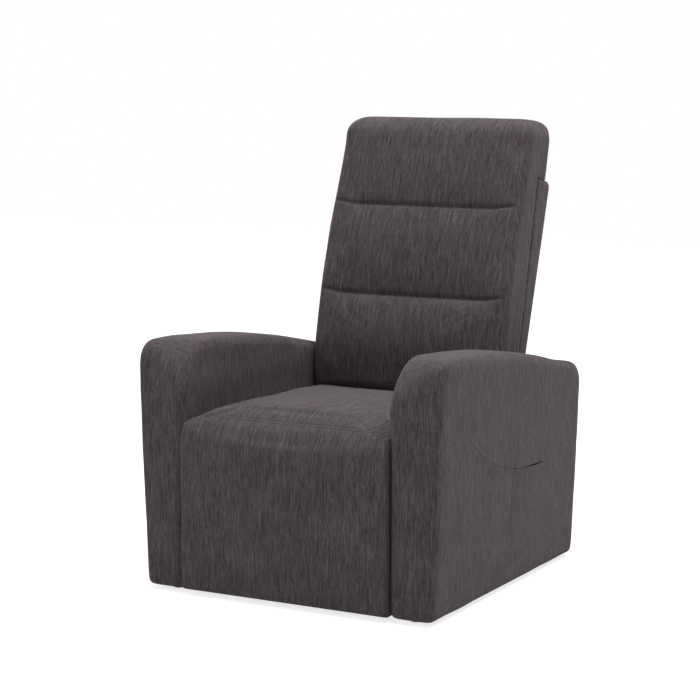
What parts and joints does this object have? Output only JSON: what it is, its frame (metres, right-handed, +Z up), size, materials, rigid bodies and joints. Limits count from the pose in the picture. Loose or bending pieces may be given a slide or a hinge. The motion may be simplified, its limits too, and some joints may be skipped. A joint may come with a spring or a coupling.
{
  "type": "recliner armchair",
  "caption": "Upholstered push-back recliner armchair with padded arms, side pocket, tilting headrest, reclining back and a fold-out footrest driven together by links.",
  "frame": {"origin": "on the floor, under the middle of the chair's box", "axes": "+Z up, the front of the chair faces -Y, the sitter's left is +X"},
  "size_m": [0.8, 0.8944, 1.093],
  "materials": {
    "upholstery": "dark brown-grey chenille with vertical slubs",
    "timber": "raw softwood and plywood",
    "mechanism_steel": "black powder coat",
    "bright_steel": "zinc plated",
    "plastic": "black nylon",
    "webbing": "black elastic webbing and felt"
  },
  "bodies": {
    "base": {"arm_cover_left": "upholstery", "arm_cover_right": "upholstery", "arm_panel_left": "timber", "arm_panel_right": "timber", "arm_posts_left": "timber", "arm_posts_right": "timber", "back_pivot_pins": "bright_steel", "floor_glides": "plastic", "footrest_hinge_pins": "mechanism_steel", "footrest_hinge_plate_left": "mechanism_steel", "footrest_hinge_plate_right": "mechanism_steel", "front_base_rail": "timber", "mechanism_plate_left": "mechanism_steel", "mechanism_plate_right": "mechanism_steel", "plate_bolts": "bright_steel", "pocket_panel": "upholstery", "rear_base_rail": "timber", "rear_panel": "upholstery", "seat_deck": "webbing", "seat_front_rail": "timber", "seat_pad": "upholstery", "seat_rear_rail": "timber", "seat_side_rail_left": "timber", "seat_side_rail_right": "timber", "seat_springs": "bright_steel", "tube_bushes": "plastic"},
    "back": {"back_bottom_rail": "timber", "back_bracket_left": "mechanism_steel", "back_bracket_right": "mechanism_steel", "back_pad": "upholstery", "back_shell": "upholstery", "back_stile_left": "timber", "back_stile_right": "timber", "back_straps": "webbing", "back_top_rail": "timber", "headrest_hinge_lower": "mechanism_steel"},
    "headrest": {"headrest_board": "timber", "headrest_hinge_upper": "mechanism_steel", "headrest_pad": "upholstery"},
    "footrest": {"footrest_board": "timber", "footrest_bracket_left": "mechanism_steel", "footrest_bracket_right": "mechanism_steel", "footrest_pad": "upholstery"},
    "drive_tube": {"cross_tube": "mechanism_steel", "tube_crank_left": "mechanism_steel", "tube_crank_right": "mechanism_steel"},
    "footrest_links": {"footrest_link_left": "mechanism_steel", "footrest_link_right": "mechanism_steel"},
    "recline_rods": {"recline_rod_left": "mechanism_steel", "recline_rod_right": "mechanism_steel"}
  },
  "joints": [
    {"name": "back_recline", "type": "hinge", "parent": "base", "child": "back", "pos_m": [0, 0.1748, 0.374], "axis": [-1, 0, 0], "range_deg": [0, 38]},
    {"name": "headrest_tilt", "type": "hinge", "parent": "back", "child": "headrest", "pos_m": [0, 0.33276, 0.88455], "axis": [1, 0, 0], "range_deg": [0, 35]},
    {"name": "footrest_swing", "type": "hinge", "parent": "base", "child": "footrest", "pos_m": [0, -0.3922, 0.38], "axis": [-1, 0, 0], "range_deg": [0, 88.01]},
    {"name": "tube_turn", "type": "hinge", "parent": "base", "child": "drive_tube", "pos_m": [0, -0.1472, 0.23], "axis": [-1, 0, 0], "range_deg": [0, 88.01]},
    {"name": "link_swing", "type": "hinge", "parent": "drive_tube", "child": "footrest_links", "pos_m": [0, -0.11642, 0.14543], "axis": [-1, 0, 0], "range_deg": [-88.01, 0]},
    {"name": "rod_swing", "type": "hinge", "parent": "drive_tube", "child": "recline_rods", "pos_m": [0, -0.1155, 0.21274], "axis": [-1, 0, 0], "range_deg": [-88.01, 0]}
  ],
  "couplings": [
    {"joint": "footrest_swing", "follows": "back_recline", "ratio": 2.3158},
    {"joint": "tube_turn", "follows": "back_recline", "ratio": 2.3158},
    {"joint": "link_swing", "follows": "back_recline", "ratio": -2.3158},
    {"joint": "rod_swing", "follows": "back_recline", "ratio": -2.3158}
  ]
}
